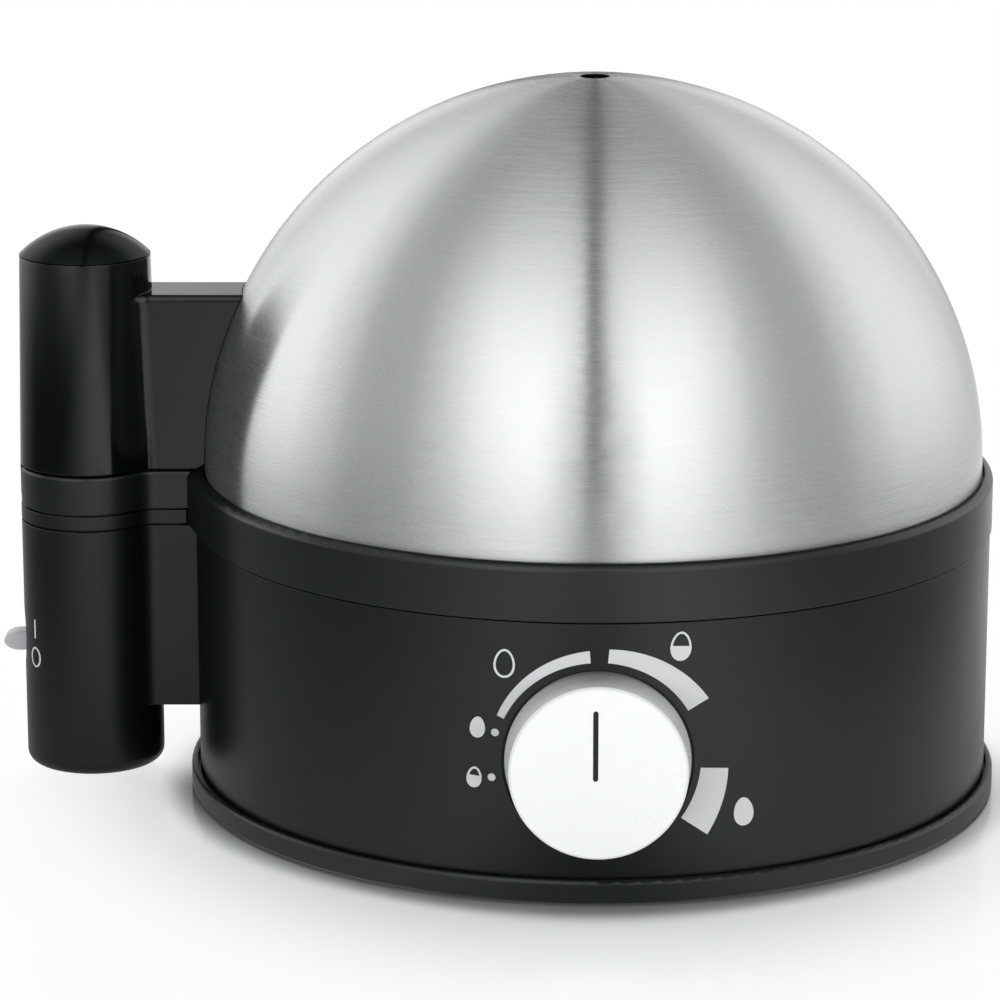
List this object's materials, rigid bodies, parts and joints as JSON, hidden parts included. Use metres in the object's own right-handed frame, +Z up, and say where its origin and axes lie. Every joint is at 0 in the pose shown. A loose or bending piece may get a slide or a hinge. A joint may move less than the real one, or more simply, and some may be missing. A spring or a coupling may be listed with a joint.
{
  "type": "electric egg cooker",
  "caption": "Round electric egg cooker with a side column that holds a tilting steel dome lid, a timer dial, a small switch and a lift-out egg carrier.",
  "frame": {"origin": "on the axis of the round body, at the level of the table it stands on", "axes": "+X from the switch column towards the body, +Y from the dial towards the rear, +Z up"},
  "size_m": [0.2383, 0.1989, 0.1705],
  "materials": {
    "housing_plastic": "fine matt grain, near black",
    "rim_plastic": "satin, near black",
    "spacer_plastic": "fine matt grain, near black",
    "cover_plastic": "fine matt grain, near black",
    "foot_rubber": "matt",
    "screw_steel": "zinc plated",
    "seal_silicone": "matt",
    "bowl_steel": "brushed",
    "spreader_aluminium": "cast",
    "element_tube": "heat darkened",
    "strap_steel": "zinc plated",
    "thermostat_body": "phenolic",
    "fuse_body": "satin",
    "board_laminate": "solder mask",
    "component_plastic": "satin",
    "potentiometer_metal": "zinc plated",
    "switch_plastic": "satin",
    "terminal_plastic": "satin",
    "bush_rubber": "matt",
    "wire_silicone": "satin",
    "mark_print": "screen print",
    "knob_white": "smooth satin white",
    "pointer_black": "matt",
    "shaft_metal": "turned",
    "clip_spring": "spring steel",
    "lever_grey": "silver grey",
    "dome_steel": "brushed round",
    "column_gloss": "piano black",
    "carrier_plastic": "satin",
    "handle_plastic": "satin"
  },
  "bodies": {
    "base": {"base_housing": "housing_plastic", "rim_ring": "rim_plastic", "column_spacer": "spacer_plastic", "bottom_cover": "cover_plastic", "foot_ring": "foot_rubber", "cover_screws": "screw_steel", "rim_screws": "screw_steel", "bowl_seal": "seal_silicone", "heating_bowl": "bowl_steel", "heat_spreader": "spreader_aluminium", "heating_element": "element_tube", "element_clamp": "strap_steel", "clamp_nut": "screw_steel", "thermostat": "thermostat_body", "thermal_fuse": "fuse_body", "control_board": "board_laminate", "board_screws": "screw_steel", "timer_parts": "component_plastic", "buzzer": "component_plastic", "timer_potentiometer": "potentiometer_metal", "pot_nut": "screw_steel", "switch_body": "switch_plastic", "switch_pin": "screw_steel", "terminal_block": "terminal_plastic", "cord_gland": "bush_rubber", "wiring": "wire_silicone", "hinge_pin": "screw_steel", "dial_marks": "mark_print", "switch_marks": "mark_print"},
    "dial": {"dial_knob": "knob_white", "knob_pointer": "pointer_black", "knob_shaft": "shaft_metal", "knob_clip": "clip_spring"},
    "switch": {"switch_lever": "lever_grey"},
    "lid": {"lid_dome": "dome_steel", "lid_column": "column_gloss", "column_cap": "column_gloss", "dome_plate": "strap_steel", "dome_screws": "screw_steel"},
    "carrier": {"egg_carrier": "carrier_plastic", "carrier_handle": "handle_plastic", "handle_screw": "screw_steel"}
  },
  "joints": [
    {"name": "lid_hinge", "type": "hinge", "parent": "base", "child": "lid", "pos_m": [-0.13338, 0, 0.0715], "axis": [0, -1, 0], "range_deg": [0, 90]},
    {"name": "dial_turn", "type": "hinge", "parent": "base", "child": "dial", "pos_m": [0, -0.0922, 0.0325], "axis": [0, 1, 0], "range_deg": [-100, 125]},
    {"name": "switch_tilt", "type": "hinge", "parent": "base", "child": "switch", "pos_m": [-0.1305, 0, 0.0341], "axis": [0, 1, 0], "range_deg": [0, 14]},
    {"name": "carrier_lift", "type": "slide", "parent": "base", "child": "carrier", "axis": [0, 0, 1], "range_m": [0, 0.035]}
  ]
}
